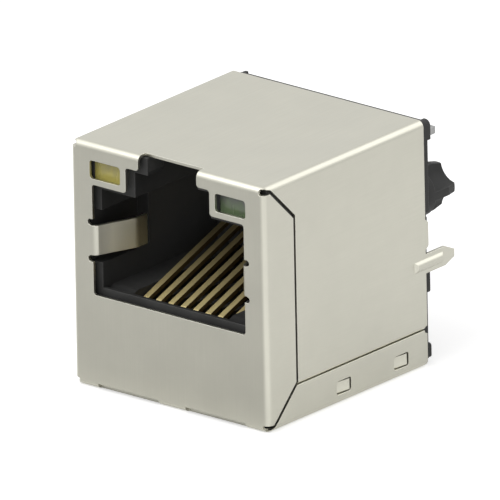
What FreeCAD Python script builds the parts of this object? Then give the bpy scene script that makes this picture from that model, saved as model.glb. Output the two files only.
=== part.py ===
import FreeCAD, Part
import math
import os

# Shielded top-entry modular jack for a circuit board, with two indicator lamps.
# Millimetres. While it is modelled, X runs across the port from its middle, Y runs back
# from the shield's front face and Z runs up from the shield's underside.
# The finished pieces are moved so that the point midway between the two board pegs,
# on the plane where the jack seats on its board, is the origin.

# Shield: one folded sheet
SHEET = 0.20
FOLD_RADIUS = 0.45
CUT_CORNER = 0.22
SMALL_CORNER = 0.18

# Plug port, as the plug meets it in the moulded body
PORT_WIDTH = 11.84
PORT_HEIGHT = 6.68
PORT_FLOOR = 6.73
PORT_DEPTH = 11.35
LATCH_WIDTH = 6.25
LATCH_HEIGHT = 1.72
NOTCH_WIDTH = 4.14

# What the shield has round the port
SIDE_WALL = 2.08
ROOF = 1.42
REAR_WALL = 3.95
FRONT_GAP = 0.35
SHIELD_MARGIN_SIDE = 0.335
SHIELD_MARGIN_HEIGHT = 0.385
NOTCH_SETBACK = 0.79

# Side flaps of the front panel, folded round the upright corners, and the slits round them
FLAP_DEPTH = 2.85
FLAP_GAP = 0.20
FLAP_CORNER = 2.75
SLIT_SPAN = 0.34
CORNER_SLOT_INSET = 0.11
CORNER_SLOT_HEIGHT = 0.38
CORNER_SLOT_REACH = 0.50
CORNER_SLOT_DEPTH = 0.35
CORNER_SLOT_ROUND = 0.15
SLIT_START = 0.69

# Bottom panel and the strips folded up from it
STRIP_HEIGHT = 2.50
STRIP_SLIT = 0.03
JOGGLE = 0.25
JOGGLE_BEND = 0.24
JOGGLE_FOOT = 0.40
WINDOW_STARTS = (6.80, 12.50)
WINDOW_LENGTH = 1.45
WINDOW_LOW = 0.66
WINDOW_HEIGHT = 0.91
CATCH_CLEARANCE = 0.12
CATCH_RISE = 0.20
FRONT_CUT_INNER = 1.10
FRONT_CUT_OUTER = 6.07
FRONT_CUT_HEIGHT = 0.37
FRONT_CUT_DEPTH = 0.42

# Ground spring fingers
FINGER_ABOVE_FLOOR = 2.27
FINGER_WIDTH = 2.0
FINGER_BEND = 0.35
FINGER_REACH = 1.13
FINGER_RUN = 2.80
FINGER_TIP = 0.95
FINGER_ROOT = 0.095
FINGER_RELIEF = 0.20
FINGER_RELIEF_OUT = 0.195
FINGER_RELIEF_STEP = 0.24

# Moulded body
BODY_CLEARANCE = 0.05
BODY_PROUD = 0.67
BODY_CORNER = 0.30
LOW_STEP_CLEARANCE = 0.15
REAR_STEP_BELOW_PEG = 0.54
LIP = 0.30
LIP_GROOVE = 0.25
LIP_RAMP = 0.63
LATCH_WALL = 1.60
CATCH_POCKET_HEIGHT = 0.62
CATCH_POCKET_DEPTH = 7.0
FINGER_POCKET_OUT = 0.90
FINGER_POCKET_BELOW = 0.58
FINGER_POCKET_ABOVE = 0.98
FINGER_POCKET_DEPTH = 4.60
BAY_FRONT_WALL = 0.65
BAY_FLOOR = 0.95
BAY_MARGIN = 0.32
FLOOR_WINDOW_MARGIN = 0.14

# Stand-offs that meet the board
SEAT_HEIGHT = 0.30
CORNER_PAD_WIDTH = 0.52
CORNER_PAD_HEIGHT = 1.30
CORNER_PAD_ROUND = 0.38
PAD_WIDTH = 1.05
PADS = ((0.22, 1.19), (4.61, 6.08))

# Board pegs, four-ribbed beyond a round neck; lengths past the seat
PEG_SPACING = 11.43
PEG_ABOVE_FLOOR = 4.01
PEG_RADIUS = 1.60
PEG_LENGTH = 3.05
PEG_NECK = 0.95
PEG_TIP_RADIUS = 1.41
PEG_TAPER = 0.80
FLUTE_RADIUS = 1.30
FLUTE_OFFSET = 1.585

# Solder tabs and the rear edge of the side panels; lengths past the seat
PEGS_TO_TABS = 3.825
TAB_WIDTH = 1.29
TAB_LENGTH = 1.83
TAB_SHOULDER = 0.93
TAB_TIP_OFFSET = 0.36
TAB_TIP_WIDTH = 0.51
BEAD_INSIDE = 0.95
BEAD_SHORT = 0.45
BEAD_RADIUS = 0.40
BEAD_RISE = 0.20
FOOT_ABOVE_TAB = 0.34
FOOT_HEIGHT = 1.95
FOOT_DEPTH = 0.28
FOOT_CORNER = 0.20
STOP_RISE = 0.12
STOP_CORNER = 0.08
STOP_SETBACK = 0.22
EDGE_RELIEF = 0.26

# Contacts
CONTACTS = 8
CONTACT_PITCH = 1.02
CONTACT_WIDTH = 0.42
CONTACT_THICKNESS = 0.30
CONTACT_BEND = 0.35
CONTACT_NOSE_SETBACK = 1.35
CONTACT_NOSE_BELOW_FLOOR = 0.69
CONTACT_RUN_BELOW_FLOOR = 1.53
CONTACT_SLOPE = 19.7
CONTACT_PAST_PORT = 0.60
CONTACT_LEG_INSIDE = 0.70
PIN_LENGTH = 2.50
PIN_POINT = 0.10
PEGS_TO_PINS = 6.35
PIN_ROW_PITCH = 2.54

# Insert that holds the contacts
INSERT_CLEARANCE = 0.04
INSERT_FRONT_GAP = 0.10
TONGUE_COVER = 0.20
TONGUE_CLEARANCE = 0.05
WIRE_CLEARANCE = 0.04
COMB_SLOT_CLEARANCE = 0.07
COMB_SLOT_PAST_TIP = 0.50
COMB_SLOT_ABOVE_TIP = 1.06
COMB_ROOF = 0.35
RIB_WIDTH = 0.34
RIB_RISE = 0.43
RIB_SETBACK = 0.85
CORE_WEB = 0.45
CORE_WALL = 0.61
CORE_FLOOR = 1.05
CORE_ROOF = 0.70
CORE_DEPTH = 2.0

# Lamps
LAMP_WALL = 0.285
LAMP_ABOVE_PORT = 0.57
LAMP_HEIGHT = 1.80
LAMP_SETBACK = 0.05
LAMP_LENGTH = 5.60
LAMP_NOSE_LENGTH = 0.55
LAMP_NOSE_INSET = 0.46
LAMP_SKIN = 0.01
LAMP_CLEARANCE = 0.03
LAMP_EDGE = 0.08
LAMP_WINDOW_INNER = 0.49
LAMP_WINDOW_OUTER = 0.03
LAMP_WINDOW_BELOW = 0.21
LAMP_WINDOW_ABOVE = 0.36
LEAD = 0.48
LEAD_PITCH = 2.54
LEAD_BELOW_MIDDLE = 0.12
LEAD_INSIDE = 1.80
LEAD_LENGTH = 2.15
LEAD_POINT = 0.12

ALONG_X = FreeCAD.Vector(1, 0, 0)
ALONG_Y = FreeCAD.Vector(0, 1, 0)
ALONG_Z = FreeCAD.Vector(0, 0, 1)
CENTER = FreeCAD.Vector(0, 0, 0)
BEYOND = 1.0
OFF_AXIS = 0.01

# Places that follow from the driving values
PORT_TOP = PORT_FLOOR + PORT_HEIGHT
LATCH_TOP = PORT_TOP + LATCH_HEIGHT
SHIELD_HEIGHT = LATCH_TOP + ROOF
SHIELD_SIDE = PORT_WIDTH / 2 + SIDE_WALL
SHEET_INSIDE = SHIELD_SIDE - SHEET
BODY_FRONT = SHEET + FRONT_GAP
PORT_END = BODY_FRONT + PORT_DEPTH
SHIELD_DEPTH = PORT_END + REAR_WALL
BODY_SIDE = SHEET_INSIDE - BODY_CLEARANCE
BODY_REAR = SHIELD_DEPTH + BODY_PROUD
SEAT = BODY_REAR + SEAT_HEIGHT

BODY_HIGH = SHIELD_HEIGHT - SHEET - BODY_CLEARANCE
LOW_SIDE = BODY_SIDE - JOGGLE

PANEL_FRONT = FLAP_DEPTH + FLAP_GAP
FLAP_LEAN = FLAP_DEPTH - FLAP_CORNER
JOGGLE_SHELF = STRIP_HEIGHT + STRIP_SLIT
STRIP_TOP = JOGGLE_SHELF + JOGGLE_BEND
JOGGLE_OUTSIDE = SHIELD_SIDE - JOGGLE
SHIELD_PORT_SIDE = PORT_WIDTH / 2 + SHIELD_MARGIN_SIDE
FINGER_LOW = PORT_FLOOR + FINGER_ABOVE_FLOOR
FINGER_HIGH = FINGER_LOW + FINGER_WIDTH

PEG_HEIGHT = PORT_FLOOR + PEG_ABOVE_FLOOR
PEG_END = SEAT + PEG_LENGTH
TAB_MIDDLE = PEG_HEIGHT - PEGS_TO_TABS
FOOT_LOW = TAB_MIDDLE + TAB_WIDTH / 2 + FOOT_ABOVE_TAB
FOOT_TOP = FOOT_LOW + FOOT_HEIGHT
FOOT_END = SHIELD_DEPTH + FOOT_DEPTH
PIN_END = SEAT + PIN_LENGTH
PIN_ROWS = (PEG_HEIGHT - PEGS_TO_PINS, PEG_HEIGHT - PEGS_TO_PINS - PIN_ROW_PITCH)

CONTACT_PLACES = [(n - (CONTACTS - 1) / 2) * CONTACT_PITCH for n in range(CONTACTS)]
CONTACT_SPAN = CONTACT_PLACES[-1] + CONTACT_WIDTH / 2
CONTACT_NOSE = BODY_FRONT + CONTACT_NOSE_SETBACK
CONTACT_NOSE_TOP = PORT_FLOOR - CONTACT_NOSE_BELOW_FLOOR
CONTACT_RUN = PORT_FLOOR - CONTACT_RUN_BELOW_FLOOR
CONTACT_LEG = BODY_REAR - CONTACT_LEG_INSIDE
CONTACT_TIP = PORT_END + CONTACT_PAST_PORT
CONTACT_CLIMB = (CONTACT_TIP - CONTACT_NOSE) * math.tan(math.radians(CONTACT_SLOPE))
CONTACT_TIP_HEIGHT = CONTACT_NOSE_TOP + CONTACT_CLIMB

BAY_SIDE = CONTACT_SPAN + BAY_MARGIN
BAY_FRONT = BODY_FRONT + BAY_FRONT_WALL
INSERT_SIDE = BAY_SIDE - INSERT_CLEARANCE
GROOVE_FLOOR = CONTACT_RUN - CONTACT_THICKNESS / 2 - WIRE_CLEARANCE
TONGUE_TOP = CONTACT_RUN + CONTACT_THICKNESS / 2 + TONGUE_COVER
BAY_ROOF = TONGUE_TOP + TONGUE_CLEARANCE
RIB_TOP = TONGUE_TOP + RIB_RISE
COMB_SLOT_TOP = CONTACT_TIP_HEIGHT + COMB_SLOT_ABOVE_TIP
INSERT_TOP = COMB_SLOT_TOP + COMB_ROOF

LAMP_WIDTH = LEAD_PITCH + LEAD + 2 * LAMP_SKIN
LAMP_CENTER = LATCH_WIDTH / 2 + LAMP_WALL + LAMP_WIDTH / 2
LAMP_LOW = PORT_TOP + LAMP_ABOVE_PORT
LAMP_HIGH = LAMP_LOW + LAMP_HEIGHT
LAMP_FRONT = BODY_FRONT + LAMP_SETBACK
LAMP_SHOULDER = LAMP_FRONT + LAMP_NOSE_LENGTH
LAMP_END = LAMP_FRONT + LAMP_LENGTH
LAMP_INNER = LAMP_CENTER - LAMP_WIDTH / 2
LAMP_OUTER = LAMP_CENTER + LAMP_WIDTH / 2
LAMP_NOSE_INNER = LAMP_INNER + LAMP_NOSE_INSET
LEAD_HEIGHT = LAMP_LOW + LAMP_HEIGHT / 2 - LEAD_BELOW_MIDDLE


def box(x0, x1, y0, y1, z0, z1):
    """A block between the stated limits."""
    corner = FreeCAD.Vector(x0, y0, z0)
    return Part.makeBox(x1 - x0, y1 - y0, z1 - z0, corner)


def both_sides(shape):
    """A shape on the right with its mirror image on the left."""
    return shape.fuse(shape.mirror(CENTER, ALONG_X))


def edges_along(shape, axis):
    """The straight edges of a shape that run along an axis."""
    found = []
    for edge in shape.Edges:
        if isinstance(edge.Curve, Part.Line):
            run = edge.Vertexes[-1].Point - edge.Vertexes[0].Point
            if run.normalize().cross(axis).Length < OFF_AXIS:
                found.append(edge)
    return found


def prism(points, thickness):
    """A polygon given by its corners, pushed through the stated vector."""
    corners = [FreeCAD.Vector(*p) for p in points]
    wire = Part.makePolygon(corners + corners[:1])
    return Part.Face(wire).extrude(thickness)


def rounded_cut(x0, x1, y0, y1, z0, z1, axis, radius):
    """A block whose edges along one axis are rounded."""
    block = box(x0, x1, y0, y1, z0, z1)
    return block.makeFillet(radius, edges_along(block, axis))


def bent_strip(route, bends, thickness, normal, width):
    """A strip of constant thickness along a route with round bends.

    The route's points lie in a plane square to normal, along which the strip has its width,
    half to each side. Each inner point has its own bend radius, at the strip's middle.
    """
    points = [FreeCAD.Vector(*p) for p in route]
    runs = [(b - a).normalize() for a, b in zip(points, points[1:])]
    sides = []
    for half in (thickness / 2, -thickness / 2):
        edges = []
        start = points[0] + normal.cross(runs[0]) * half
        for n, radius in enumerate(bends):
            into, out = runs[n], runs[n + 1]
            turn = into.getAngle(out)
            way = 1 if normal.dot(into.cross(out)) > 0 else -1
            back = radius * math.tan(turn / 2)
            entry = points[n + 1] - into * back
            leave = points[n + 1] + out * back
            left_in, left_out = normal.cross(into), normal.cross(out)
            middle = entry + left_in * radius * way
            outward = (points[n + 1] - middle).normalize()
            reach = radius - half * way
            a = entry + left_in * half
            b = leave + left_out * half
            edges.append(Part.makeLine(start, a))
            edges.append(Part.Arc(a, middle + outward * reach, b).toShape())
            start = b
        edges.append(Part.makeLine(start, points[-1] + normal.cross(runs[-1]) * half))
        sides.append(edges)
    near, far = sides
    caps = [
        Part.makeLine(near[-1].lastVertex(True).Point, far[-1].lastVertex(True).Point),
        Part.makeLine(near[0].firstVertex(True).Point, far[0].firstVertex(True).Point),
    ]
    wire = Part.Wire(Part.__sortEdges__(near + far + caps))
    face = Part.Face(wire)
    face.translate(normal * (-width / 2))
    return face.extrude(normal * width)


def port_prism(side, height, y0, y1, top):
    """The stepped port outline, grown by the stated margins, between two depths.

    Its notch runs up to the stated height.
    """
    half = PORT_WIDTH / 2 + side
    latch = LATCH_WIDTH / 2 + side
    notch = NOTCH_WIDTH / 2 + side
    right = [
        (half, PORT_FLOOR - height),
        (half, PORT_TOP + height),
        (latch, PORT_TOP + height),
        (latch, LATCH_TOP + height),
        (notch, LATCH_TOP + height),
        (notch, top),
    ]
    outline = right + [(-x, z) for x, z in reversed(right)]
    return prism([(x, y0, z) for x, z in outline], ALONG_Y * (y1 - y0))


def folded_envelope(inset):
    """The outline of the folded sheet, inset from its outside, running past the open rear."""
    side = SHIELD_SIDE - inset
    body = box(-side, side, inset, SHIELD_DEPTH + BEYOND, inset, SHIELD_HEIGHT - inset)
    folds = edges_along(body, ALONG_Y)
    for edge in edges_along(body, ALONG_X) + edges_along(body, ALONG_Z):
        if edge.CenterOfMass.y < inset + SHEET:
            folds.append(edge)
    return body.makeFillet(FOLD_RADIUS - inset, folds)


def flap_slit():
    """The slit behind the right side flap, with a slot through each end of its upright fold."""
    inside = SHEET_INSIDE - SHEET
    slot_end = CORNER_SLOT_INSET + CORNER_SLOT_HEIGHT
    joint = CORNER_SLOT_DEPTH - SMALL_CORNER
    lean = FLAP_LEAN + SLIT_SPAN
    edge = [
        (joint, slot_end),
        (joint, CORNER_SLOT_INSET),
        (SLIT_START, SLIT_START - lean),
        (PANEL_FRONT, PANEL_FRONT - lean),
    ]
    flap_edge = [(FLAP_DEPTH, FLAP_CORNER), (slot_end + FLAP_LEAN, slot_end)]
    outline = [(y, SHIELD_HEIGHT - inset) for y, inset in edge]
    outline += [(y, inset) for y, inset in reversed(edge)]
    outline += [(y, inset) for y, inset in reversed(flap_edge)]
    outline += [(y, SHIELD_HEIGHT - inset) for y, inset in flap_edge]
    slit = prism([(inside, y, z) for y, z in outline], ALONG_X * 4 * FOLD_RADIUS)
    slots = []
    top_slot = SHIELD_HEIGHT - CORNER_SLOT_INSET - CORNER_SLOT_HEIGHT
    for low in (CORNER_SLOT_INSET, top_slot):
        slot = rounded_cut(
            SHIELD_SIDE - CORNER_SLOT_REACH, SHIELD_SIDE + BEYOND, -BEYOND, CORNER_SLOT_DEPTH,
            low, low + CORNER_SLOT_HEIGHT, ALONG_Y, CORNER_SLOT_ROUND,
        )
        slots.append(slot)
    return slit.fuse(slots)


def side_joggle():
    """The foot of the right side panel, set inwards to pass behind the bottom's strip."""
    top = STRIP_TOP
    outer = JOGGLE_OUTSIDE
    inner = outer - SHEET
    y0 = PANEL_FRONT
    profile = [
        (SHIELD_SIDE, y0, top + SHEET),
        (SHIELD_SIDE, y0, JOGGLE_SHELF),
        (outer, y0, JOGGLE_SHELF),
        (outer, y0, JOGGLE_FOOT),
        (inner, y0, JOGGLE_FOOT),
        (inner, y0, JOGGLE_SHELF + SHEET / 2),
        (SHEET_INSIDE, y0, top),
        (SHEET_INSIDE, y0, top + SHEET),
    ]
    panel = prism(profile, ALONG_Y * (SHIELD_DEPTH - y0))
    bend = [
        edge
        for edge in edges_along(panel, ALONG_Y)
        if edge.CenterOfMass.x > outer and edge.CenterOfMass.z < top
    ]
    panel = panel.makeFillet(JOGGLE_BEND, bend)
    window_top = WINDOW_LOW + WINDOW_HEIGHT
    low = WINDOW_LOW + CATCH_CLEARANCE / 2
    high = window_top - CATCH_CLEARANCE
    for start in WINDOW_STARTS:
        end = start + WINDOW_LENGTH
        panel = panel.cut(box(inner - SHEET, outer + SHEET, start, end, WINDOW_LOW, window_top))
        y1 = end - CATCH_CLEARANCE
        ramp = [
            (inner, start - SHEET, low),
            (outer, start - SHEET, low),
            (outer + CATCH_RISE, y1, low),
            (inner + CATCH_RISE, y1, low),
        ]
        panel = panel.fuse(prism(ramp, ALONG_Z * (high - low)))
    return panel


def ground_finger():
    """The right spring finger, bent in from the edge of the port opening."""
    middle = SHEET / 2
    bend_x = SHIELD_PORT_SIDE - FINGER_ROOT
    route = [
        (bend_x + 3 * FINGER_BEND, middle, 0),
        (bend_x, middle, 0),
        (bend_x - FINGER_REACH, middle + FINGER_RUN, 0),
        (bend_x - FINGER_REACH, middle + FINGER_RUN + FINGER_TIP, 0),
    ]
    finger = bent_strip(route, (FINGER_BEND, 2 * FINGER_BEND), SHEET, ALONG_Z, FINGER_WIDTH)
    finger.translate(ALONG_Z * (FINGER_LOW + FINGER_WIDTH / 2))
    return finger


def finger_root_cut():
    """The piece taken out of the front panel round the right finger's root."""
    edge = SHIELD_PORT_SIDE
    out = edge + FINGER_RELIEF_OUT
    low = FINGER_LOW - FINGER_RELIEF_STEP
    high = FINGER_HIGH + FINGER_RELIEF_STEP
    cut = box(edge - SHEET, out, -BEYOND, FOLD_RADIUS, low - FINGER_RELIEF, high + FINGER_RELIEF)
    for height in (low, high):
        start = FreeCAD.Vector(out, -BEYOND, height)
        cut = cut.fuse(Part.makeCylinder(FINGER_RELIEF, BEYOND + FOLD_RADIUS, start, ALONG_Y))
    return cut


def solder_tab():
    """The right solder tab with the foot beside it, both in the side panel's plane."""
    start = SHIELD_DEPTH - SHEET
    low = TAB_MIDDLE - TAB_WIDTH / 2
    high = TAB_MIDDLE + TAB_WIDTH / 2
    tip_low = low + TAB_TIP_OFFSET
    tip_high = tip_low + TAB_TIP_WIDTH
    outline = [
        (start, low),
        (SEAT + TAB_SHOULDER, low),
        (SEAT + TAB_LENGTH, tip_low),
        (SEAT + TAB_LENGTH, tip_high),
        (SEAT + TAB_SHOULDER, high),
        (start, high),
    ]
    foot_outline = [
        (start, FOOT_LOW),
        (FOOT_END - FOOT_CORNER, FOOT_LOW),
        (FOOT_END, FOOT_LOW + FOOT_CORNER),
        (FOOT_END, FOOT_TOP - FOOT_CORNER),
        (FOOT_END - FOOT_CORNER, FOOT_TOP),
        (start, FOOT_TOP),
    ]
    tab = prism([(SHEET_INSIDE, y, z) for y, z in outline], ALONG_X * SHEET)
    foot = prism([(SHEET_INSIDE, y, z) for y, z in foot_outline], ALONG_X * SHEET)
    return tab.fuse(foot)


def bead(shape):
    """The shape with a stiffening bead pressed out along the right solder tab."""
    axis = SHIELD_SIDE + BEAD_RISE - BEAD_RADIUS
    start = SHIELD_DEPTH - BEAD_INSIDE
    end = SEAT + TAB_SHOULDER - BEAD_SHORT
    reach = SHIELD_SIDE + BEAD_RISE
    slope = reach - SHEET_INSIDE
    foot = FreeCAD.Vector(axis, start - slope, TAB_MIDDLE)
    length = end - start + 2 * slope
    outline = [
        (SHEET_INSIDE, start - slope),
        (reach, start),
        (reach, end),
        (SHEET_INSIDE, end + slope),
    ]
    room = prism([(x, y, TAB_MIDDLE - BEYOND) for x, y in outline], ALONG_Z * 2 * BEYOND)
    raised = Part.makeCylinder(BEAD_RADIUS, length, foot, ALONG_Y).common(room)
    hollow = Part.makeCylinder(BEAD_RADIUS - SHEET, length - 2 * slope, foot, ALONG_Y)
    hollow.translate(ALONG_Y * slope)
    return shape.fuse(raised).cut(hollow)


def shield():
    """The whole folded sheet."""
    shell = folded_envelope(0).cut(folded_envelope(SHEET))
    span = SHIELD_SIDE + BEYOND
    shell = shell.common(box(-span, span, -BEYOND, SHIELD_DEPTH, -BEYOND, SHIELD_HEIGHT + BEYOND))

    front_top = SHIELD_HEIGHT + BEYOND
    opening = port_prism(
        SHIELD_MARGIN_SIDE, SHIELD_MARGIN_HEIGHT, -BEYOND, NOTCH_SETBACK, front_top
    )
    opening = opening.makeFillet(CUT_CORNER, edges_along(opening, ALONG_Y))
    cuts = [opening]

    lamp_window = rounded_cut(
        LAMP_INNER + LAMP_WINDOW_INNER, LAMP_OUTER - LAMP_WINDOW_OUTER, -BEYOND, FOLD_RADIUS,
        LAMP_LOW + LAMP_WINDOW_BELOW, LAMP_HIGH - LAMP_WINDOW_ABOVE, ALONG_Y, CUT_CORNER,
    )
    lower_cut = box(
        FRONT_CUT_INNER, FRONT_CUT_OUTER, -BEYOND, FRONT_CUT_DEPTH, -BEYOND, FRONT_CUT_HEIGHT
    )
    strip_gap = box(
        SHEET_INSIDE - SHEET, span, FLAP_DEPTH, SHIELD_DEPTH + BEYOND,
        STRIP_HEIGHT, STRIP_TOP,
    )
    for cut in (lamp_window, lower_cut, strip_gap, flap_slit(), finger_root_cut()):
        cuts.append(both_sides(cut))
    for start in WINDOW_STARTS:
        strip_window = rounded_cut(
            BODY_SIDE, span, start, start + WINDOW_LENGTH,
            WINDOW_LOW, WINDOW_LOW + WINDOW_HEIGHT, ALONG_X, SMALL_CORNER,
        )
        cuts.append(both_sides(strip_window))
    shell = shell.cut(cuts)

    right = [side_joggle(), ground_finger(), solder_tab()]
    shell = shell.fuse([both_sides(piece) for piece in right])

    seam_end = FreeCAD.Vector(SHEET_INSIDE - 2 * SHEET, SHIELD_DEPTH, STRIP_HEIGHT)
    relief = Part.makeCylinder(EDGE_RELIEF, 4 * SHEET, seam_end, ALONG_X)
    shell = shell.cut(both_sides(relief))
    shell = bead(shell)
    shell = bead(shell.mirror(CENTER, ALONG_X)).mirror(CENTER, ALONG_X)
    return shell.removeSplitter()


def board_peg():
    """The right board peg: a round neck, then four ribs between hollow flutes, and a taper."""
    x = PEG_SPACING / 2
    start = FreeCAD.Vector(x, BODY_REAR, PEG_HEIGHT)
    taper = FreeCAD.Vector(x, PEG_END - PEG_TAPER, PEG_HEIGHT)
    peg = Part.makeCylinder(PEG_RADIUS, taper.y - start.y, start, ALONG_Y)
    peg = peg.fuse(Part.makeCone(PEG_RADIUS, PEG_TIP_RADIUS, PEG_TAPER, taper, ALONG_Y))
    for side in (-FLUTE_OFFSET, FLUTE_OFFSET):
        for rise in (-FLUTE_OFFSET, FLUTE_OFFSET):
            place = FreeCAD.Vector(x + side, SEAT + PEG_NECK, PEG_HEIGHT + rise)
            peg = peg.cut(Part.makeCylinder(FLUTE_RADIUS, PEG_LENGTH, place, ALONG_Y))
    return peg


def stand_offs():
    """The raised pads on the right that keep the body off the board."""
    low = BODY_HIGH - CORNER_PAD_HEIGHT
    inner = BODY_SIDE - CORNER_PAD_WIDTH
    corner = box(inner, BODY_SIDE, BODY_REAR, SEAT, low, BODY_HIGH)
    outer_edges = [
        edge
        for edge in edges_along(corner, ALONG_Y)
        if edge.CenterOfMass.x > inner and edge.CenterOfMass.z > low
    ]
    pads = [corner.makeFillet(CORNER_PAD_ROUND, outer_edges)]
    for low, high in PADS:
        pad = rounded_cut(
            LOW_SIDE - PAD_WIDTH, LOW_SIDE, BODY_REAR, SEAT, low, high, ALONG_Y, SMALL_CORNER
        )
        pads.append(pad)
    return pads


def body_block():
    """The moulded body's outside.

    It is narrower low down, where the shield's joggled panels pass, and behind the shield, where
    a rib on each side backs the shield's foot.
    """
    low = SHEET + BODY_CLEARANCE
    block = rounded_cut(
        -BODY_SIDE, BODY_SIDE, BODY_FRONT, BODY_REAR, low, BODY_HIGH, ALONG_Y, BODY_CORNER
    )
    side = box(
        LOW_SIDE, BODY_SIDE + BEYOND, BODY_FRONT - BEYOND, BODY_REAR + BEYOND,
        -BEYOND, STRIP_TOP + SHEET + LOW_STEP_CLEARANCE,
    )
    rear_side = box(
        LOW_SIDE, BODY_SIDE + BEYOND, SHIELD_DEPTH, BODY_REAR + BEYOND,
        -BEYOND, PEG_HEIGHT - REAR_STEP_BELOW_PEG,
    )
    inside = LOW_SIDE - SHEET
    start = SHIELD_DEPTH - SHEET
    end = BODY_REAR - STOP_SETBACK
    bottom = FOOT_LOW + FOOT_CORNER
    top = FOOT_TOP + STOP_RISE
    rib = [
        (inside, start, bottom),
        (inside, end, bottom),
        (inside, end, top - STOP_CORNER),
        (inside, end - STOP_CORNER, top),
        (inside, start, top),
    ]
    rib = prism(rib, ALONG_X * (BODY_SIDE - inside))
    return block.cut([both_sides(side), both_sides(rear_side)]).fuse(both_sides(rib))


def port_cavity():
    """The room for the plug, with its latch channel, catch pocket and lever notch."""
    cavity = port_prism(0, 0, BODY_FRONT - BEYOND, PORT_END, LATCH_TOP)
    wall_end = BODY_FRONT + LATCH_WALL
    half_notch = NOTCH_WIDTH / 2
    half_latch = LATCH_WIDTH / 2
    notch = box(
        -half_notch, half_notch, BODY_FRONT - BEYOND, wall_end + SHEET,
        LATCH_TOP - SHEET, SHIELD_HEIGHT,
    )
    pocket = box(
        -half_latch, half_latch, wall_end, wall_end + CATCH_POCKET_DEPTH,
        LATCH_TOP - SHEET, LATCH_TOP + CATCH_POCKET_HEIGHT,
    )
    return cavity.fuse([notch, pocket])


def floor_groove():
    """The groove behind the port's lower lip, with the ramp that rises from it."""
    half = PORT_WIDTH / 2
    y0 = BODY_FRONT + LIP
    y1 = y0 + LIP_GROOVE / 2
    low = PORT_FLOOR - LIP_GROOVE
    section = [
        (-half, y0, PORT_FLOOR + SHEET),
        (-half, y0, low),
        (-half, y1, low),
        (-half, y1 + LIP_RAMP, PORT_FLOOR),
        (-half, y1 + LIP_RAMP, PORT_FLOOR + SHEET),
    ]
    return prism(section, ALONG_X * PORT_WIDTH)


def housing():
    """The moulded body."""
    body = body_block()
    finger_pocket = box(
        PORT_WIDTH / 2 - SHEET, PORT_WIDTH / 2 + FINGER_POCKET_OUT,
        BODY_FRONT - BEYOND, BODY_FRONT + FINGER_POCKET_DEPTH,
        FINGER_LOW - FINGER_POCKET_BELOW, FINGER_HIGH + FINGER_POCKET_ABOVE,
    )
    window_side = CONTACT_SPAN + FLOOR_WINDOW_MARGIN
    lamp_channel = lamp_outline(BODY_FRONT - BEYOND, BODY_REAR + BEYOND, LAMP_CLEARANCE)
    floor_window = box(
        -window_side, window_side, BODY_FRONT + LIP + LIP_GROOVE / 2, PORT_END,
        BAY_ROOF - SHEET, PORT_FLOOR + SHEET,
    )
    tongue_bay = box(-BAY_SIDE, BAY_SIDE, BAY_FRONT, BODY_REAR + BEYOND, BAY_FLOOR, BAY_ROOF)
    rear_bay = box(
        -BAY_SIDE, BAY_SIDE, PORT_END - SHEET, BODY_REAR + BEYOND,
        BAY_FLOOR, INSERT_TOP + INSERT_CLEARANCE,
    )
    cuts = [port_cavity(), floor_groove(), floor_window, tongue_bay, rear_bay]
    cuts += [both_sides(finger_pocket), both_sides(lamp_channel)]
    body = body.cut(cuts)
    body = body.fuse([both_sides(piece) for piece in stand_offs() + [board_peg()]])
    return body.removeSplitter()


def contact_route(n):
    """The middle line of contact n, from its pin's end to its spring's free end."""
    x = CONTACT_PLACES[n]
    pin = PIN_ROWS[n % 2]
    return [
        (x, PIN_END, pin),
        (x, CONTACT_LEG, pin),
        (x, CONTACT_LEG, CONTACT_RUN),
        (x, CONTACT_NOSE, CONTACT_RUN),
        (x, CONTACT_NOSE, CONTACT_NOSE_TOP),
        (x, CONTACT_TIP, CONTACT_TIP_HEIGHT),
    ]


def contact_strip(n, extra):
    """The body of contact n, grown all round its section by extra."""
    return bent_strip(
        contact_route(n), (CONTACT_BEND,) * 4, CONTACT_THICKNESS + 2 * extra, ALONG_X,
        CONTACT_WIDTH + 2 * extra,
    )


def contact(n):
    """One contact: board pin, leg, run under the port, nose bend and sloping spring."""
    strip = contact_strip(n, 0)
    point = [edge for edge in strip.Edges if edge.BoundBox.YMin > PIN_END - PIN_POINT / 2]
    return strip.makeChamfer(PIN_POINT, point)


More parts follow.
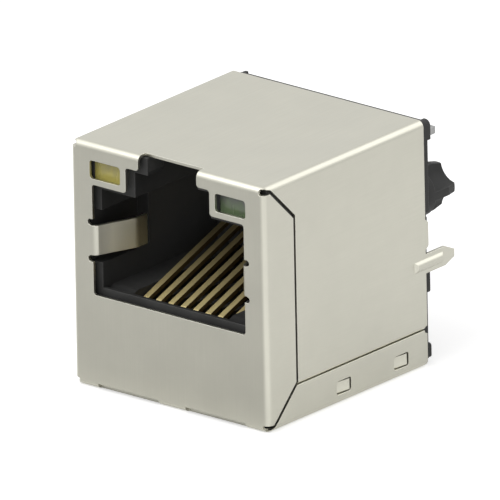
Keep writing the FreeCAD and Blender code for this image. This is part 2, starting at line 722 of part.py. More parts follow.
def contact_carrier():
    """The insert: a tongue under the port floor and a block that closes the port's rear."""
    front = BAY_FRONT + INSERT_FRONT_GAP
    low = BAY_FLOOR + INSERT_CLEARANCE
    block_front = PORT_END + INSERT_CLEARANCE
    tongue = box(-INSERT_SIDE, INSERT_SIDE, front, BODY_REAR, low, TONGUE_TOP)
    block = box(-INSERT_SIDE, INSERT_SIDE, block_front, BODY_REAR, low, INSERT_TOP)
    insert = tongue.fuse(block)

    ribs = []
    for left, right in zip(CONTACT_PLACES, CONTACT_PLACES[1:]):
        middle = (left + right) / 2
        half = RIB_WIDTH / 2
        rib = box(
            middle - half, middle + half, CONTACT_NOSE + RIB_SETBACK, block_front + SHEET,
            TONGUE_TOP - SHEET, RIB_TOP,
        )
        ribs.append(rib)
    insert = insert.fuse(ribs)

    cuts = []
    groove_half = CONTACT_WIDTH / 2 + WIRE_CLEARANCE
    comb_half = CONTACT_WIDTH / 2 + COMB_SLOT_CLEARANCE
    for n, x in enumerate(CONTACT_PLACES):
        groove = box(
            x - groove_half, x + groove_half, front - BEYOND, CONTACT_LEG - CONTACT_BEND,
            GROOVE_FLOOR, TONGUE_TOP,
        )
        slot_floor = PIN_ROWS[n % 2] - CONTACT_THICKNESS / 2 - WIRE_CLEARANCE
        leg_slot = box(
            x - groove_half, x + groove_half, CONTACT_LEG, BODY_REAR + BEYOND,
            slot_floor, TONGUE_TOP,
        )
        comb_slot = box(
            x - comb_half, x + comb_half, block_front - BEYOND, CONTACT_TIP + COMB_SLOT_PAST_TIP,
            RIB_TOP, COMB_SLOT_TOP,
        )
        cuts += [contact_strip(n, WIRE_CLEARANCE), groove, leg_slot, comb_slot]
    core = box(
        CORE_WEB, INSERT_SIDE - CORE_WALL, BODY_REAR - CORE_DEPTH, BODY_REAR + BEYOND,
        TONGUE_TOP + CORE_FLOOR, INSERT_TOP - CORE_ROOF,
    )
    core = core.makeFillet(SMALL_CORNER, edges_along(core, ALONG_Y))
    cuts.append(both_sides(core))
    return insert.cut(cuts).removeSplitter()


def lamp_lead(place):
    """One square lead of a lamp, pointed at its board end."""
    half = LEAD / 2
    end = SEAT + LEAD_LENGTH
    lead = box(
        place - half, place + half, LAMP_END - LEAD_INSIDE, end,
        LEAD_HEIGHT - half, LEAD_HEIGHT + half,
    )
    point = [edge for edge in lead.Edges if edge.BoundBox.YMin > end - LEAD_POINT / 2]
    return lead.makeChamfer(LEAD_POINT, point)


def lamp_outline(y0, y1, margin):
    """The right lamp's body between two depths, grown by margin, with its narrower nose."""
    low = LAMP_LOW - margin
    outline = [
        (LAMP_NOSE_INNER - margin, y0, low),
        (LAMP_OUTER + margin, y0, low),
        (LAMP_OUTER + margin, y1, low),
        (LAMP_INNER - margin, y1, low),
        (LAMP_INNER - margin, LAMP_SHOULDER - margin, low),
        (LAMP_NOSE_INNER - margin, LAMP_SHOULDER - margin, low),
    ]
    return prism(outline, ALONG_Z * (LAMP_HEIGHT + 2 * margin))


def lamp_lens(leads):
    """The right lamp's moulded lens, closed round the front ends of its two leads."""
    lens = lamp_outline(LAMP_FRONT, LAMP_END, 0)
    lens = lens.makeFillet(LAMP_EDGE, edges_along(lens, ALONG_Y))
    return lens.cut(leads)


def build():
    """Every piece by its name, in the modelling frame."""
    pieces = {"shield": shield(), "housing": housing(), "contact_carrier": contact_carrier()}
    for n in range(CONTACTS):
        pieces[f"contact_{n + 1}"] = contact(n)
    outer = lamp_lead(LAMP_CENTER + LEAD_PITCH / 2)
    inner = lamp_lead(LAMP_CENTER - LEAD_PITCH / 2)
    lens = lamp_lens([outer, inner])
    for part, shape in (("lens", lens), ("outer_lead", outer), ("inner_lead", inner)):
        pieces[f"right_led_{part}"] = shape
        pieces[f"left_led_{part}"] = shape.mirror(CENTER, ALONG_X)
    return pieces


os.makedirs("parts", exist_ok=True)
origin = FreeCAD.Vector(0, SEAT, PEG_HEIGHT)
for name, shape in build().items():
    if len(shape.Solids) != 1 or not shape.isValid():
        raise ValueError(f"{name} has {len(shape.Solids)} solids, valid {shape.isValid()}")
    piece = shape.Solids[0]
    piece.translate(-origin)
    piece.exportStep(f"parts/{name}.step")
    print(name, round(piece.Volume, 3), len(piece.Faces))
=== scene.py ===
import math

import bmesh
import bpy
from bpy.props import FloatProperty, FloatVectorProperty, PointerProperty
from mathutils import Matrix, Quaternion, Vector


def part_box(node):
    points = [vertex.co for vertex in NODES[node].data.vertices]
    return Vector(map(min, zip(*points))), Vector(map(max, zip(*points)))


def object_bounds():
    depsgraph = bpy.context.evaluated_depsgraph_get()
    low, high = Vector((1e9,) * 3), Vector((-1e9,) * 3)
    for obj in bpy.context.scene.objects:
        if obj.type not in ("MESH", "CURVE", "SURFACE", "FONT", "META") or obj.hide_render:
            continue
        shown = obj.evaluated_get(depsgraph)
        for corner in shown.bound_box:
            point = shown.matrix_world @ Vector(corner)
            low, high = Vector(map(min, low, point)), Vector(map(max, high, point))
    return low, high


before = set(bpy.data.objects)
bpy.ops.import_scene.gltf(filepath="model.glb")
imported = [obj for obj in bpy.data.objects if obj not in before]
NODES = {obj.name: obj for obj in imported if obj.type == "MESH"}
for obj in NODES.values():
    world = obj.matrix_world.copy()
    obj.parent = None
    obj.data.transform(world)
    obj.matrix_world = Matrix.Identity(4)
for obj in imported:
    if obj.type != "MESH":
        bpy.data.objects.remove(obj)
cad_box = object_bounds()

bl_info = {
    "name": "Board jack looks",
    "version": (1, 0, 0),
    "blender": (4, 5, 0),
    "location": "3D View > Sidebar > Board Jack",
    "description": "Finishes and a studio for a shielded modular jack",
    "category": "Object",
}

MM = 0.001
CONTACT_NAMES = [name for name in sorted(NODES) if name.removeprefix("contact_").isdigit()]
LEAD_NAMES = [name for name in sorted(NODES) if name.endswith("_lead")]
WHITE = (1.0, 1.0, 1.0, 1.0)

# Where most of a noise's values lie, and a narrower run about its middle
MOST = (0.3, 0.7)
MIDDLE = (0.35, 0.65)

# A noise's detail and roughness
FINE = (3.0, 0.6)
PATCHY = (4.0, 0.6)
SOFT = (3.0, 0.5)
PLAIN = (2.0, 0.5)

# Noise drawn out into lines: how often it repeats along X, Y and Z
LINES_ALONG_Y = (1, 0.02, 1)
LINES_UPRIGHT = (1, 1, 0.02)
DRAWN_LINES = (1, 0.05, 0.1)
RESIN_STREAKS = (1, 0.1, 0.25)
RESIN_CLOUD = (1, 0.2, 1)

# The largest part of a face's normal along one axis: on a flat face, and well into a fold
FLAT_FACE = 0.98
FOLDED_FACE = 0.85
# The part of a normal past which a face counts as facing along that axis
FACING = 0.7
# The same for a contact's sheared side, from where it starts to where it is full
SHEARED_SIDE = (0.5, 0.8)
# A rounded normal against the true one: on an open face, and at a sharp edge
OPEN_FACE = 0.99
SHARP_EDGE = 0.86
BEVEL_SAMPLES = 4

# Tones of each finish against its own colour. A SHARE is how far its lines are blended in at most.
PLATE_PATCHES = (0.965, 1.03)
PLATE_GRAIN = 0.95
PLATE_GRAIN_SHARE = 0.3
# The next tone lightens the plate on its folds as a painted highlight, and along its cut edges as
# rubbed wear together with a painted highlight
PLATE_WEAR_AND_HIGHLIGHT = 1.5
# The next tone is a painted highlight and reflection on the fingers, the side catches and the
# joggles
PLATE_PAINTED_HIGHLIGHT = 1.6
PLASTIC_FLOW = (0.85, 1.2)
PLASTIC_RUBBED = 3.0
# Painted shade at the port's mouth and painted light deeper in the port, against the plastic's own
# colour
PLASTIC_PORT_PAINTED_LIGHT = (0.7, 2.4)
CARRIER_TONE = 0.9
GOLD_PATCHES = (0.94, 1.04)
# Painted shade: the gold darkened towards the inside of the port
GOLD_PAINTED_SHADE = 0.5
RESIN_TONE = 1.12
RESIN_STREAK = 1.1
RESIN_STREAK_SHARE = 0.25
TIN_CRYSTALS = (0.92, 1.06)
FLOOR_PATCHES = (0.99, 1.01)

# How far each roughness falls and rises about its middle value
PLATE_UNEVEN = (0.03, 0.03)
PLATE_PATCH_UNEVEN = (-0.02, 0.03)
PLASTIC_UNEVEN = (0.05, 0.06)
GOLD_UNEVEN = (0.04, 0.05)
LENS_UNEVEN = (0.06, 0.08)
TIN_UNEVEN = (0.06, 0.08)

# Where the painted shade on the resin comes in on its way from floor to roof, and how far its
# clouds shift that
RESIN_TURN = (0.1, 0.8)
RESIN_SHIFT = (-0.2, 0.2)
RESIN_IOR = 1.52

# How strongly the mould grain shows
SPARK_STRENGTH = 0.8
# How far the side catches are painted bright as a highlight, at their top and at their foot
CATCH_HIGHLIGHT = (0.1, 0.5)

# Places where a finish changes, in the part's frame. Those called OUT are from the middle plane.
FINGER_OUT = (5.9 * MM, 5.6 * MM)
FINGER_HEIGHT = (-2.04 * MM, 0.56 * MM)
CATCH_OUT = (7.7 * MM, 7.97 * MM)
CATCH_HEIGHT = (-10.14 * MM, -9.1 * MM)
CATCH_FADE = (-9.2 * MM, -10.1 * MM)
JOGGLE_HEIGHT = (-8.29 * MM, -7.89 * MM)
SIDE_PANEL_START = -13.8 * MM
PORT_ACROSS = (-5.95 * MM, 5.95 * MM)
PORT_HEIGHT = (-4.2 * MM, 4.6 * MM)
PORT_ALONG = (-16.2 * MM, -4.8 * MM)
PORT_FADE = (-15.5 * MM, -7.0 * MM)
CONTACT_FADE = (-15.6 * MM, -9.0 * MM)

# The floor: half its width, and where its shade comes in, towards the left and towards the front
FLOOR_REACH = 2.0
SHADE_LEFT = (14 * MM, 6 * MM)
SHADE_AHEAD = (-14 * MM, -20 * MM)
# The shift that brings the middle of the floor's glow to the origin, and the distances from there
# between which the glow rises to its full strength
GLOW_SHIFT = (0, 8 * MM, 0)
GLOW_RISE = (9 * MM, 26 * MM)

# The nearest and the furthest that the camera sees
CAMERA_CLIP = (1 * MM, 2.0)

# The way to each lamp from the jack's middle
KEY_WAY = (-0.60, -0.34, 0.72)
FILL_WAY = (0.34, 0.72, 0.60)
PORT_WAY = (-0.10, -0.57, 0.81)


def colour(name, description, default):
    """A colour property."""
    return FloatVectorProperty(
        name=name, description=description, subtype="COLOR", default=default, min=0.0, max=1.0
    )


def length(name, description, millimetres):
    """A length property with its default given in millimetres."""
    return FloatProperty(
        name=name, description=description, unit="LENGTH", default=millimetres * MM
    )


def share(name, description, default):
    """A property from 0 to 1."""
    return FloatProperty(
        name=name, description=description, subtype="FACTOR", default=default, min=0.0, max=1.0
    )


def power(name, description, watts):
    """A lamp's power."""
    return FloatProperty(name=name, description=description, unit="POWER", default=watts)


def angle(name, description, degrees):
    """An angle property with its default given in degrees."""
    return FloatProperty(
        name=name, description=description, subtype="ANGLE", default=math.radians(degrees)
    )


class JackFinishes(bpy.types.PropertyGroup):
    """Colours and surface qualities of the jack's materials."""

    plate: colour("Shield plate", "Nickel plate of the folded shield", (0.57, 0.56, 0.485))
    plate_roughness: share("Plate roughness", "Satin roughness of the nickel plate", 0.36)
    # The folds' lightening is a painted highlight
    painted_fold_highlight: share("Fold wear", "How far the shield's folds are rubbed bright", 0.3)
    # On the shield's cut edges this is rubbed wear together with a painted highlight
    edge_wear_and_highlight: share("Edge wear", "How far the shield's cut edges are rubbed bright", 0.55)
    black: colour("Black plastic", "Moulded body and contact carrier", (0.058, 0.058, 0.057))
    black_roughness: share("Plastic roughness", "Roughness of the moulded plastic", 0.46)
    black_gloss: share("Plastic gloss", "Specular level of the moulded plastic", 0.08)
    black_wear: share("Plastic wear", "How far the plastic's edges are rubbed pale", 0.5)
    gold: colour("Contact gold", "Gold plate of the contacts", (1.0, 0.81, 0.39))
    gold_roughness: share("Gold roughness", "Roughness of the gold plate", 0.48)
    gold_metal: share("Gold metal", "How far the gold shines as metal", 0.55)
    # The contacts' sheared sides are bare metal, and are painted darker than it as shade
    bronze_and_shade: colour("Contact bronze", "Bare sheared sides of the contacts", (0.20, 0.13, 0.045))
    tin: colour("Lead tin", "Tin plate of the lamps' leads", (0.35, 0.35, 0.345))
    tin_roughness: share("Tin roughness", "Roughness of the tin plate", 0.34)
    # Each lens turns from its low tone to its high tone towards the roof; the high tone is painted
    # shade
    yellow: colour("Yellow lens", "Tinted resin low in the left lamp", (0.66, 0.58, 0.16))
    yellow_roof_shade: colour("Yellow lens, high", "The same resin near its roof", (0.47, 0.42, 0.18))
    green: colour("Green lens", "Tinted resin low in the right lamp", (0.17, 0.24, 0.125))
    green_roof_shade: colour("Green lens, high", "The same resin near its roof", (0.175, 0.17, 0.175))
    lens_roughness: share("Lens roughness", "Roughness of the lenses' moulded faces", 0.22)
    lens_clearness: share("Lens clearness", "How much light the tinted resin lets through", 0.2)


class JackSizes(bpy.types.PropertyGroup):
    """Sizes of the detail in the jack's surfaces."""

    grain: length("Rolling grain", "Spacing of the fine lines rolled into the sheet", 0.08)
    grain_depth: length("Grain depth", "Depth of those lines", 0.0004)
    mottle: length("Plate mottle", "Size of the soft patches in the plate", 3.2)
    # On the shield this band also carries a painted highlight
    edge: length("Worn edge", "Width of the rubbed band along edges", 0.07)
    spark: length("Mould grain", "Size of the spark-eroded grain on the plastic", 0.07)
    spark_depth: length("Mould grain depth", "Depth of that grain", 0.003)
    flow: length("Flow marks", "Size of the soft sheen patches on the plastic", 2.2)
    draw: length("Drawn lines", "Spacing of the fine lines along the contacts", 0.12)
    gold_patch: length("Gold patches", "Size of the soft patches in the gold", 1.4)
    streak: length("Resin streaks", "Spacing of the streaks in the lenses", 0.5)
    streak_depth: length("Streak depth", "Depth of those streaks on the lenses' faces", 0.004)
    cloud: length("Resin cloud", "Size of the clouds in the lenses", 0.55)
    crystal: length("Tin crystals", "Size of the crystals in the leads' tin", 0.16)
    crystal_depth: length("Crystal depth", "Depth of those crystals", 0.002)
    tin_patch: length("Tin patches", "Size of the soft patches in the tin", 1.0)
    fine_edge: length("Fine edge", "Width of the rounding on the lamps' edges", 0.05)


class JackStudio(bpy.types.PropertyGroup):
    """Camera and light."""

    azimuth: angle("Azimuth", "Camera's way round the jack from its front", 40.05)
    elevation: angle("Elevation", "Camera's height above the horizon", 20.04)
    roll: angle("Roll", "Camera's turn about its own line of sight", -1.117)
    frame_width: length("Frame width", "Width of the view", 31.706)
    aim_across: length("Aim across", "What the camera looks at, from the jack's middle", 1.7577)
    aim_along: length("Aim along", "The same, back from the jack's front", 5.9472)
    aim_up: length("Aim up", "The same, up from the floor", 9.382)
    camera_distance: length("Camera distance", "How far the camera stands off", 200)
    key_power: power("Key power", "Power of the key lamp", 0.007)
    fill_power: power("Fill power", "Power of the fill lamp", 0.012)
    port_power: power("Port power", "Power of the lamp that looks into the port", 0.030)
    lamp_size: length("Lamp size", "Width of each round lamp", 80)
    lamp_distance: length("Lamp distance", "How far each lamp stands off", 90)
    ambient: share("Ambient", "Strength of the even light from all round", 0.55)
    floor: colour("Floor", "Colour of the floor", (0.86, 0.86, 0.86))
    floor_roughness: share("Floor roughness", "Roughness of the floor", 0.9)
    floor_gloss: share("Floor gloss", "Specular level of the floor", 0.1)
    floor_patch: length("Floor patches", "Size of the soft patches in the floor", 40)
    floor_light: share("Floor light", "How much light of its own the floor shows the camera", 0.5)
    floor_glow: share("Floor glow", "How bright the floor shows itself to polished faces", 0.38)
    front_glow: share("Front glow", "The same in front of the jack, on its left", 0.205)
    near_glow: share("Near glow", "Share of that brightness close round the jack", 0.65)
    floor_shade: share("Floor shade", "How much darker the floor is in front, on the left", 0.28)


class Tree:
    """A node tree and short ways to add nodes to it."""

    def __init__(self, tree):
        self.nodes = tree.nodes
        self.links = tree.links

    def add(self, kind, settings=(), **inputs):
        """A node with its settings made, and each named input linked or set."""
        node = self.nodes.new(kind)
        for key, value in dict(settings).items():
            setattr(node, key, value)
        for key, value in inputs.items():
            self.feed(node, key.replace("_", " "), value)
        return node

    def put(self, value, socket):
        """Links an output to an input socket, or sets the socket's own value."""
        if isinstance(value, bpy.types.NodeSocket):
            self.links.new(value, socket)
        else:
            socket.default_value = value

    def feed(self, node, key, value):
        """Puts a value into a node's named or numbered input."""
        self.put(value, node.inputs[key])

    def ranged(self, value, low, high, to_low, to_high):
        """A value brought from one range into another and held there."""
        node = self.add("ShaderNodeMapRange", Value=value)
        limits = (("From Min", low), ("From Max", high), ("To Min", to_low), ("To Max", to_high))
        for key, limit in limits:
            node.inputs[key].default_value = limit
        return node.outputs["Result"]

    def calc(self, operation, first, second=0.0):
        """One or two values put through a Math node."""
        node = self.add("ShaderNodeMath", {"operation": operation})
        for slot, value in enumerate((first, second)):
            self.feed(node, slot, value)
        return node.outputs["Value"]

    def size_of(self, value):
        """A value without its sign."""
        return self.calc("ABSOLUTE", value)

    def times(self, first, second):
        """Two values multiplied."""
        return self.calc("MULTIPLY", first, second)

    def larger(self, first, second):
        """The larger of two values."""
        return self.calc("MAXIMUM", first, second)

    def within(self, value, low, high):
        """1 where a value lies between two limits, else 0."""
        offset = self.size_of(self.calc("SUBTRACT", value, (low + high) / 2))
        return self.calc("LESS_THAN", offset, (high - low) / 2)

    def parts(self, vector):
        """A vector's parts along X, Y and Z."""
        outputs = self.add("ShaderNodeSeparateXYZ", Vector=vector).outputs
        return outputs["X"], outputs["Y"], outputs["Z"]


class Surface(Tree):
    """One new material, with short ways to make its tones, textures and bumps."""

    def __init__(self, name):
        self.material = bpy.data.materials.new(name)
        self.material.use_nodes = True
        super().__init__(self.material.node_tree)
        self.shader = self.nodes["Principled BSDF"]
        self.place = self.add("ShaderNodeTexCoord").outputs["Object"]

    def finish(self, **inputs):
        """Feeds the material's shader."""
        for key, value in inputs.items():
            self.feed(self.shader, key.replace("_", " "), value)
        return self.material

    def noise(self, size, kind=PLAIN, stretch=None):
        """Noise whose patches are about this size, drawn out where a stretch is given."""
        detail, roughness = kind
        vector = self.place
        if stretch is not None:
            vector = self.add("ShaderNodeMapping", Vector=vector, Scale=stretch).outputs["Vector"]
        node = self.add(
            "ShaderNodeTexNoise", Vector=vector, Scale=1 / size, Detail=detail, Roughness=roughness
        )
        return node.outputs["Fac"]

    def blend(self, factor, first, second):
        """A value between two others."""
        return self.add("ShaderNodeMix", Factor=factor, A=first, B=second).outputs["Result"]

    def shade(self, factor, first, second):
        """A colour between two others."""
        node = self.add("ShaderNodeMix", {"data_type": "RGBA"})
        for key, value in (("Factor_Float", factor), ("A_Color", first), ("B_Color", second)):
            self.put(value, next(s for s in node.inputs if s.identifier == key))
        return next(s for s in node.outputs if s.identifier == "Result_Color")

    def mottled(self, noise, base, tones, span=MOST):
        """A colour that follows a noise from its darker to its lighter tone."""
        dark, light = tones
        return self.shade(self.ranged(noise, *span, 0.0, 1.0), tint(base, dark), tint(base, light))

    def uneven(self, noise, middle, reach):
        """A roughness that follows a noise about its middle value."""
        less, more = reach
        return self.ranged(noise, *MOST, middle - less, middle + more)

    def normal(self):
        """The surface's true normal."""
        return self.add("ShaderNodeNewGeometry").outputs["Normal"]

    def edges(self, width):
        """1 along sharp edges and 0 on open faces, with the normal rounded over this width."""
        bevel = self.add("ShaderNodeBevel", {"samples": BEVEL_SAMPLES}, Radius=width)
        rounded = bevel.outputs["Normal"]
        dot = self.add("ShaderNodeVectorMath", {"operation": "DOT_PRODUCT"})
        self.feed(dot, 0, rounded)
        self.feed(dot, 1, self.normal())
        return self.ranged(dot.outputs["Value"], OPEN_FACE, SHARP_EDGE, 0.0, 1.0), rounded

    def relief(self, height, distance, normal, strength=1.0):
        """A bump of this distance in metres on top of a normal."""
        node = self.add(
            "ShaderNodeBump", Height=height, Distance=distance, Strength=strength, Normal=normal
        )
        return node.outputs["Normal"]


def tint(base, factor=1.0):
    """A colour made lighter or darker, as four numbers."""
    return tuple(min(1.0, c * factor) for c in base) + (1.0,)


def finish_node(names, material):
    """Gives CAD nodes their material."""
    for name in names:
        for slot in NODES[name].material_slots:
            slot.material = material


class JackShield(bpy.types.Operator):
    """Gives the folded shield its satin nickel plate, with painted highlights on its folds,
    fingers, side catches and joggles, and rubbed wear with a painted highlight along its cut edges.
    """

    bl_idname = "jack.shield"
    bl_label = "Shield"

    def execute(self, context):
        finishes, sizes = context.scene.jack_finishes, context.scene.jack_sizes
        s = Surface("satin_nickel_plate")
        across, back, up = [s.size_of(part) for part in s.parts(s.normal())]
        bend = s.ranged(s.larger(s.larger(across, back), up), FLAT_FACE, FOLDED_FACE, 0.0, 1.0)
        grain = s.blend(
            s.calc("GREATER_THAN", back, FACING),
            s.noise(sizes.grain, FINE, LINES_ALONG_Y),
            s.noise(sizes.grain, FINE, LINES_UPRIGHT),
        )
        patches = s.noise(sizes.mottle, PATCHY)
        edge_band, rounded = s.edges(sizes.edge)
        base = s.mottled(patches, finishes.plate, PLATE_PATCHES)
        lined = s.ranged(grain, *MIDDLE, 0.0, PLATE_GRAIN_SHARE)
        base = s.shade(lined, base, tint(finishes.plate, PLATE_GRAIN))
        # Painted highlights and reflections on the fingers, the side catches and the joggles
        base = s.shade(self.painted_highlights(s, bend), base, tint(finishes.plate, PLATE_PAINTED_HIGHLIGHT))
        # Painted highlight on the folds, and rubbed wear with a painted highlight along the cut
        # edges
        bright = s.larger(s.times(bend, finishes.painted_fold_highlight), s.times(edge_band, finishes.edge_wear_and_highlight))
        base = s.shade(bright, base, tint(finishes.plate, PLATE_WEAR_AND_HIGHLIGHT))
        rough = s.uneven(grain, finishes.plate_roughness, PLATE_UNEVEN)
        rough = s.calc("ADD", rough, s.ranged(patches, *MOST, *PLATE_PATCH_UNEVEN))
        relief = s.relief(grain, sizes.grain_depth, rounded)
        finish_node(
            ["shield"], s.finish(Base_Color=base, Metallic=1.0, Roughness=rough, Normal=relief)
        )
        return {"FINISHED"}

    def painted_highlights(self, s, bend):
        """How far the plate is painted bright, as highlights and reflections, on the fingers, the
        side catches and the joggles.
        """
        x, along, height = s.parts(s.place)
        out = s.size_of(x)
        finger = s.times(s.ranged(out, *FINGER_OUT, 0.0, 1.0), s.within(height, *FINGER_HEIGHT))
        catch = s.times(s.within(out, *CATCH_OUT), s.within(height, *CATCH_HEIGHT))
        catch = s.times(catch, s.ranged(height, *CATCH_FADE, *CATCH_HIGHLIGHT))
        joggle = s.times(bend, s.within(height, *JOGGLE_HEIGHT))
        aside = s.calc("GREATER_THAN", along, SIDE_PANEL_START)
        return s.larger(finger, s.times(s.larger(catch, joggle), aside))


def moulded_plastic(name, finishes, sizes, tone):
    """Black moulded plastic with a spark-eroded grain, with painted shade at the port's mouth and
    painted light deeper inside the port.
    """
    s = Surface(name)
    spark = s.noise(sizes.spark, FINE)
    flow = s.noise(sizes.flow, SOFT)
    edge_band, rounded = s.edges(sizes.edge)
    base = s.mottled(flow, finishes.black, [tone * shift for shift in PLASTIC_FLOW])
    pale = tint(finishes.black, PLASTIC_RUBBED)
    base = s.shade(s.times(edge_band, finishes.black_wear), base, pale)
    across, along, height = s.parts(s.place)
    # Painted shade at the port's mouth, turning to painted light deeper inside the port
    inside = s.times(s.within(across, *PORT_ACROSS), s.within(height, *PORT_HEIGHT))
    inside = s.times(inside, s.within(along, *PORT_ALONG))
    mouth, depth = [tint(finishes.black, shift) for shift in PLASTIC_PORT_PAINTED_LIGHT]
    base = s.shade(inside, base, s.shade(s.ranged(along, *PORT_FADE, 0.0, 1.0), mouth, depth))
    return s.finish(
        Base_Color=base,
        Roughness=s.uneven(flow, finishes.black_roughness, PLASTIC_UNEVEN),
        Specular_IOR_Level=finishes.black_gloss,
        Normal=s.relief(spark, sizes.spark_depth, rounded, SPARK_STRENGTH),
    )


class JackPlastic(bpy.types.Operator):
    """Gives the moulded body and the contact carrier their black plastic."""

    bl_idname = "jack.plastic"
    bl_label = "Moulded pieces"

    def execute(self, context):
        finishes, sizes = context.scene.jack_finishes, context.scene.jack_sizes
        for node, name, tone in (
            ("housing", "black_body_plastic", 1.0),
            ("contact_carrier", "black_carrier_plastic", CARRIER_TONE),
        ):
            finish_node([node], moulded_plastic(name, finishes, sizes, tone))
        return {"FINISHED"}


class JackContacts(bpy.types.Operator):
    """Gives the eight contacts their gold plate, darkened inwards by painted shade, and their bare
    sheared sides, painted darker than bare metal as shade.
    """

    bl_idname = "jack.contacts"
    bl_label = "Contacts"

    def execute(self, context):
        finishes, sizes = context.scene.jack_finishes, context.scene.jack_sizes
        s = Surface("contact_gold")
        draw = s.noise(sizes.draw, stretch=DRAWN_LINES)
        base = s.mottled(s.noise(sizes.gold_patch, SOFT), finishes.gold, GOLD_PATCHES)
        across, _, _ = s.parts(s.normal())
        _, along, _ = s.parts(s.place)
        # Painted shade that darkens the gold inwards from the contacts' tips
        inward_shade = s.ranged(along, *CONTACT_FADE, 0.0, 1.0)
        base = s.shade(inward_shade, base, tint(finishes.gold, GOLD_PAINTED_SHADE))
        # Bare sheared sides, painted darker still as shade
        side = s.ranged(s.size_of(across), *SHEARED_SIDE, 0.0, 1.0)
        base = s.shade(side, base, tint(finishes.bronze_and_shade))
        rough = s.uneven(draw, finishes.gold_roughness, GOLD_UNEVEN)
        finish_node(
            CONTACT_NAMES, s.finish(Base_Color=base, Metallic=finishes.gold_metal, Roughness=rough)
        )
        return {"FINISHED"}


def lamp_resin(name, low_tone, roof_shade_tone, box, finishes, sizes):
    """Tinted see-through resin, turning to a painted shaded tone near the lamp's roof, with soft
    moulding streaks.
    """
    s = Surface(name)
    floor, roof = (corner.z for corner in box)
    streaks = s.noise(sizes.streak, stretch=RESIN_STREAKS)
    cloud = s.noise(sizes.cloud, stretch=RESIN_CLOUD)
    _, rounded = s.edges(sizes.fine_edge)
    _, _, height = s.parts(s.place)
    rise = s.calc(
        "ADD", s.ranged(height, floor, roof, 0.0, 1.0), s.ranged(cloud, *MOST, *RESIN_SHIFT)
    )
    # Painted shade: the tone turns from the low one to the high one towards the lens's roof
    turn = s.ranged(rise, *RESIN_TURN, 0.0, 1.0)
    tone = s.shade(turn, tint(low_tone, RESIN_TONE), tint(roof_shade_tone, RESIN_TONE))
    streaked = s.ranged(streaks, *MIDDLE, 0.0, RESIN_STREAK_SHARE)
    return s.finish(
        Base_Color=s.shade(streaked, tone, tint(low_tone, RESIN_STREAK)),
        Roughness=s.uneven(streaks, finishes.lens_roughness, LENS_UNEVEN),
        Transmission_Weight=finishes.lens_clearness,
        IOR=RESIN_IOR,
        Normal=s.relief(streaks, sizes.streak_depth, rounded),
    )


class JackLenses(bpy.types.Operator):
    """Gives the two lamps their tinted resin."""

    bl_idname = "jack.lenses"
    bl_label = "Lamp lenses"

    def execute(self, context):
        finishes, sizes = context.scene.jack_finishes, context.scene.jack_sizes
        for node, name, low_tone, roof_shade_tone in (
            ("left_led_lens", "yellow_resin", finishes.yellow, finishes.yellow_roof_shade),
            ("right_led_lens", "green_resin", finishes.green, finishes.green_roof_shade),
        ):
            resin = lamp_resin(name, low_tone, roof_shade_tone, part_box(node), finishes, sizes)
            finish_node([node], resin)
        return {"FINISHED"}


class JackLeads(bpy.types.Operator):
    """Gives the lamps' four leads their tin plate."""

    bl_idname = "jack.leads"
    bl_label = "Lamp leads"

    def execute(self, context):
        finishes, sizes = context.scene.jack_finishes, context.scene.jack_sizes
        s = Surface("tin_plate")
        crystals = s.noise(sizes.crystal, FINE)
        patches = s.noise(sizes.tin_patch)
        _, rounded = s.edges(sizes.fine_edge)
        material = s.finish(
            Base_Color=s.mottled(crystals, finishes.tin, TIN_CRYSTALS, MIDDLE),
            Metallic=1.0,
            Roughness=s.uneven(patches, finishes.tin_roughness, TIN_UNEVEN),
            Normal=s.relief(crystals, sizes.crystal_depth, rounded),
        )
        finish_node(LEAD_NAMES, material)
        return {"FINISHED"}


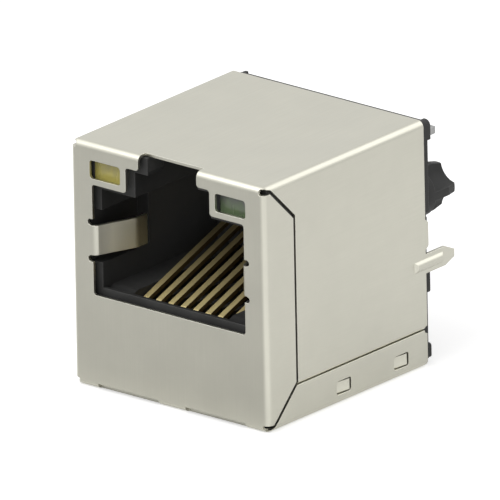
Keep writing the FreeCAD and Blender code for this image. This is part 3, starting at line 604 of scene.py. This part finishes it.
class JackStage(bpy.types.Operator):
    """Sets up the floor, the light and the camera."""

    bl_idname = "jack.stage"
    bl_label = "Stage"

    def execute(self, context):
        studio = context.scene.jack_studio
        low, high = cad_box
        self.floor(context, studio, low.z)
        self.world(context, studio)
        for name, watts, way in (
            ("key_light", studio.key_power, KEY_WAY),
            ("fill_light", studio.fill_power, FILL_WAY),
            ("port_light", studio.port_power, PORT_WAY),
        ):
            self.lamp(context, studio, name, watts, Vector(way), (low + high) / 2)
        self.camera(context, studio, low)
        context.scene.view_settings.view_transform = "Standard"
        return {"FINISHED"}

    def floor(self, context, studio, height):
        """A pale floor under the jack, white to the camera but for the jack's shadow."""
        mesh = bpy.data.meshes.new("floor")
        bm = bmesh.new()
        place = Matrix.Translation((0, 0, height))
        bmesh.ops.create_grid(bm, x_segments=2, y_segments=2, size=FLOOR_REACH, matrix=place)
        bm.to_mesh(mesh)
        bm.free()
        floor = bpy.data.objects.new("floor", mesh)
        context.scene.collection.objects.link(floor)
        mesh.materials.append(self.pale_floor(studio))

    def pale_floor(self, studio):
        """The floor's material, which shows polished faces less light close by and in front."""
        s = Surface("pale_floor")
        across, along, _ = s.parts(s.place)
        left = s.ranged(across, *SHADE_LEFT, 0.0, 1.0)
        shaded = s.times(left, s.ranged(along, *SHADE_AHEAD, 0.0, 1.0))
        tone = s.mottled(s.noise(studio.floor_patch, SOFT), studio.floor, FLOOR_PATCHES)
        tone = s.shade(shaded, tone, tint(studio.floor, 1 - studio.floor_shade))
        ray = s.add("ShaderNodeLightPath").outputs
        seen = s.larger(ray["Is Camera Ray"], ray["Is Transmission Ray"])
        centred = s.add("ShaderNodeMapping", Vector=s.place, Location=GLOW_SHIFT).outputs["Vector"]
        away = s.add("ShaderNodeVectorMath", {"operation": "LENGTH"})
        s.feed(away, 0, centred)
        near = s.ranged(away.outputs["Value"], *GLOW_RISE, studio.near_glow, 1.0)
        glow = s.ranged(shaded, 0.0, 1.0, studio.floor_glow, studio.front_glow)
        glow = s.times(ray["Is Glossy Ray"], s.times(near, glow))
        return s.finish(
            Base_Color=tone,
            Roughness=studio.floor_roughness,
            Specular_IOR_Level=studio.floor_gloss,
            Emission_Color=WHITE,
            Emission_Strength=s.larger(s.times(seen, studio.floor_light), glow),
        )

    def world(self, context, studio):
        """Even light from all round, full white to the camera and to shiny or clear faces."""
        world = bpy.data.worlds.new("studio")
        world.use_nodes = True
        tree = Tree(world.node_tree)
        ray = tree.add("ShaderNodeLightPath").outputs
        seen = tree.larger(ray["Is Camera Ray"], ray["Is Glossy Ray"])
        seen = tree.larger(seen, ray["Is Transmission Ray"])
        background = tree.nodes["Background"]
        tree.feed(background, "Strength", tree.ranged(seen, 0.0, 1.0, studio.ambient, 1.0))
        tree.feed(background, "Color", WHITE)
        context.scene.world = world

    def lamp(self, context, studio, name, watts, way, target):
        """A round lamp that stands off on its way and faces the target."""
        data = bpy.data.lights.new(name, "AREA")
        data.shape = "DISK"
        data.size = studio.lamp_size
        data.energy = watts
        lamp = bpy.data.objects.new(name, data)
        lamp.location = target + way.normalized() * studio.lamp_distance
        lamp.rotation_euler = (-way).to_track_quat("-Z", "Y").to_euler()
        context.scene.collection.objects.link(lamp)

    def camera(self, context, studio, low):
        """A camera without perspective, turned and aimed as the picture is."""
        data = bpy.data.cameras.new("camera")
        data.type = "ORTHO"
        data.ortho_scale = studio.frame_width
        data.clip_start, data.clip_end = CAMERA_CLIP
        camera = bpy.data.objects.new("camera", data)
        level = math.cos(studio.elevation)
        back = Vector((
            math.sin(studio.azimuth) * level,
            -math.cos(studio.azimuth) * level,
            math.sin(studio.elevation),
        ))
        turn = Quaternion((0, 0, 1), studio.roll)
        camera.rotation_mode = "QUATERNION"
        camera.rotation_quaternion = (-back).to_track_quat("-Z", "Y") @ turn
        target = Vector((studio.aim_across, low.y + studio.aim_along, low.z + studio.aim_up))
        camera.location = target + back * studio.camera_distance
        context.scene.collection.objects.link(camera)
        context.scene.camera = camera


class JackPanel(bpy.types.Panel):
    """Lists the jack's properties and operators."""

    bl_idname = "VIEW3D_PT_jack"
    bl_label = "Board Jack"
    bl_space_type = "VIEW_3D"
    bl_region_type = "UI"
    bl_category = "Board Jack"

    def draw(self, context):
        for key, group in GROUPS.items():
            box = self.layout.box()
            for name in group.__annotations__:
                box.prop(getattr(context.scene, key), name)
        for operator in OPERATORS:
            self.layout.operator(operator.bl_idname)


GROUPS = {"jack_finishes": JackFinishes, "jack_sizes": JackSizes, "jack_studio": JackStudio}
OPERATORS = (JackShield, JackPlastic, JackContacts, JackLenses, JackLeads, JackStage)


def register():
    """Adds the classes and the scene's property groups."""
    for item in (*GROUPS.values(), *OPERATORS, JackPanel):
        bpy.utils.register_class(item)
    for name, group in GROUPS.items():
        setattr(bpy.types.Scene, name, PointerProperty(type=group))


def unregister():
    """Takes away what register added."""
    for name in GROUPS:
        delattr(bpy.types.Scene, name)
    for item in (JackPanel, *reversed(OPERATORS), *reversed(GROUPS.values())):
        bpy.utils.unregister_class(item)


def main():
    """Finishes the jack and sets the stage."""
    register()
    bpy.ops.jack.shield()
    bpy.ops.jack.plastic()
    bpy.ops.jack.contacts()
    bpy.ops.jack.lenses()
    bpy.ops.jack.leads()
    bpy.ops.jack.stage()


if __name__ == "__main__":
    main()
